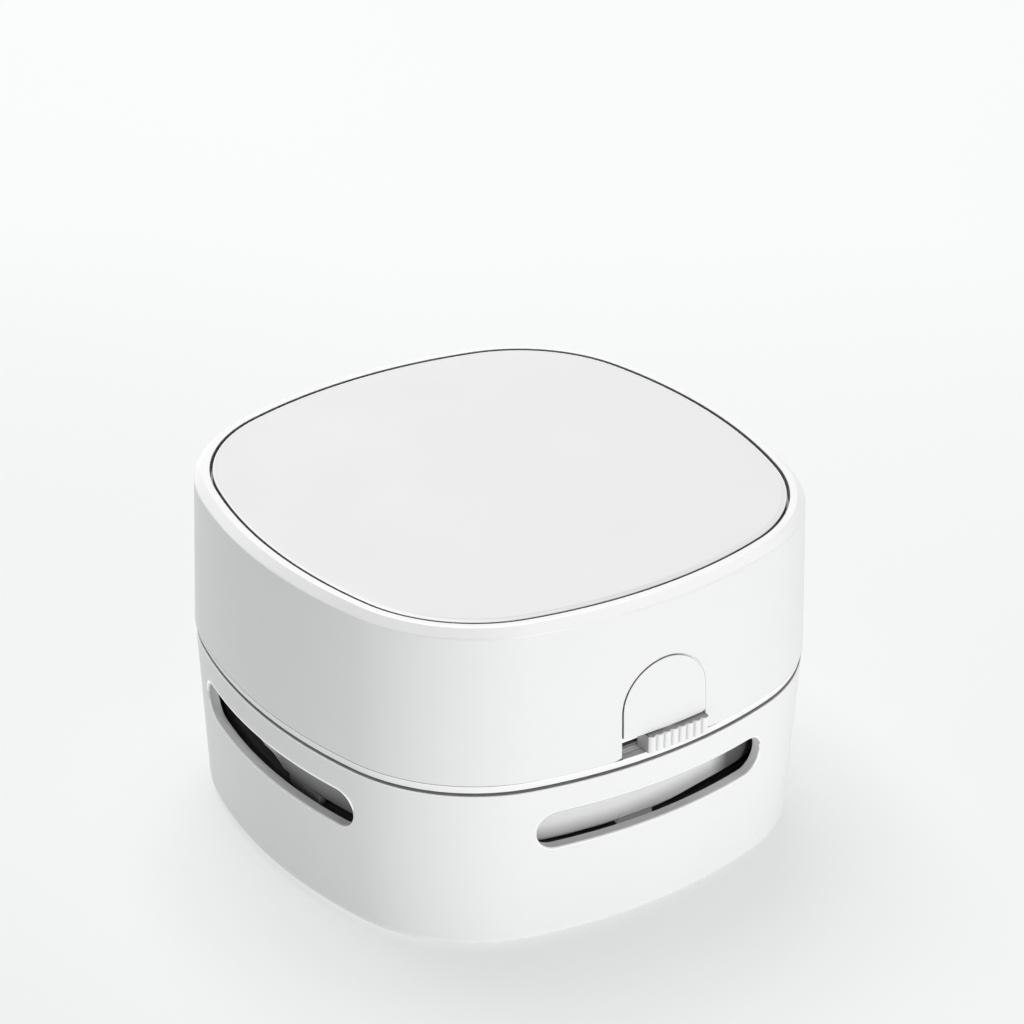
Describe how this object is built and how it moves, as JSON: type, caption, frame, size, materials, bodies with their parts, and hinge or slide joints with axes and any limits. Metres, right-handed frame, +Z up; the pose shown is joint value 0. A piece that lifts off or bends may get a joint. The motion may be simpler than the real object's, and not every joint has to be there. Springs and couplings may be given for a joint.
{
  "type": "desktop vacuum cleaner",
  "caption": "Palm-sized rounded-square desk vacuum: a battery fan unit with a slide switch lifts off a dust bin with side exhaust slots and a bristled intake underneath",
  "frame": {"origin": "centre of the resting plane under the feet, on the fan's axis", "axes": "+Z up; the switch faces -Y; +X to the right when facing the switch"},
  "size_m": [0.0868, 0.0878, 0.0556],
  "materials": {
    "shell_white": "satin",
    "knob_white": "satin",
    "inner_white": "matt",
    "skirt_white": "satin",
    "charcoal_plastic": "matt",
    "cup_grey": "matt",
    "nozzle_grey": "satin",
    "bristle_nylon": "matt",
    "foot_rubber": "matt",
    "seal_rubber": "matt",
    "filter_steel": "woven",
    "filter_foam": "open foam",
    "screw_steel": "satin",
    "motor_steel": "drawn",
    "cap_nylon": "matt",
    "bush_brass": "turned",
    "magnet_ferrite": "matt",
    "armature_copper": "wound",
    "cell_sleeve": "sleeved",
    "contact_nickel": "plated",
    "lead_red": "gloss",
    "lead_black": "gloss"
  },
  "bodies": {
    "bin": {"bin_shell": "shell_white", "nozzle_plate": "nozzle_grey", "intake_bristles": "bristle_nylon", "dust_cup": "cup_grey", "nozzle_screws": "screw_steel", "glide_feet": "foot_rubber"},
    "unit": {"bin_seal": "seal_rubber", "filter_frame": "charcoal_plastic", "filter_mesh": "filter_steel", "filter_sponge": "filter_foam", "fan_case": "skirt_white", "case_screws": "screw_steel", "chassis": "inner_white", "chassis_screws": "screw_steel", "upper_housing": "shell_white", "switch_panel": "shell_white", "slide_switch": "motor_steel", "motor_can": "motor_steel", "motor_screws": "screw_steel", "motor_end_cap": "cap_nylon", "motor_bushes": "bush_brass", "motor_magnets": "magnet_ferrite", "battery_tray": "inner_white", "tray_screws": "screw_steel", "battery_cells": "cell_sleeve", "contact_plates": "contact_nickel", "contact_springs": "contact_nickel", "lead_battery_switch": "lead_red", "lead_switch_motor": "lead_red", "lead_battery_motor": "lead_black"},
    "knob": {"power_knob": "knob_white", "switch_actuator": "charcoal_plastic"},
    "rotor": {"motor_shaft": "motor_steel", "motor_armature": "armature_copper", "impeller": "charcoal_plastic"},
    "cover": {"top_cover": "shell_white"}
  },
  "joints": [
    {"name": "unit_lift", "type": "slide", "parent": "bin", "child": "unit", "axis": [0, 0, 1], "range_m": [0, 0.03]},
    {"name": "knob_slide", "type": "slide", "parent": "unit", "child": "knob", "axis": [1, 0, 0], "range_m": [-0.0039, 0]},
    {"name": "rotor_spin", "type": "hinge", "parent": "unit", "child": "rotor", "pos_m": [0, 0, 0.03], "axis": [0, 0, 1], "continuous": true},
    {"name": "cover_lift", "type": "slide", "parent": "unit", "child": "cover", "axis": [0, 0, 1], "range_m": [0, 0.012]}
  ]
}
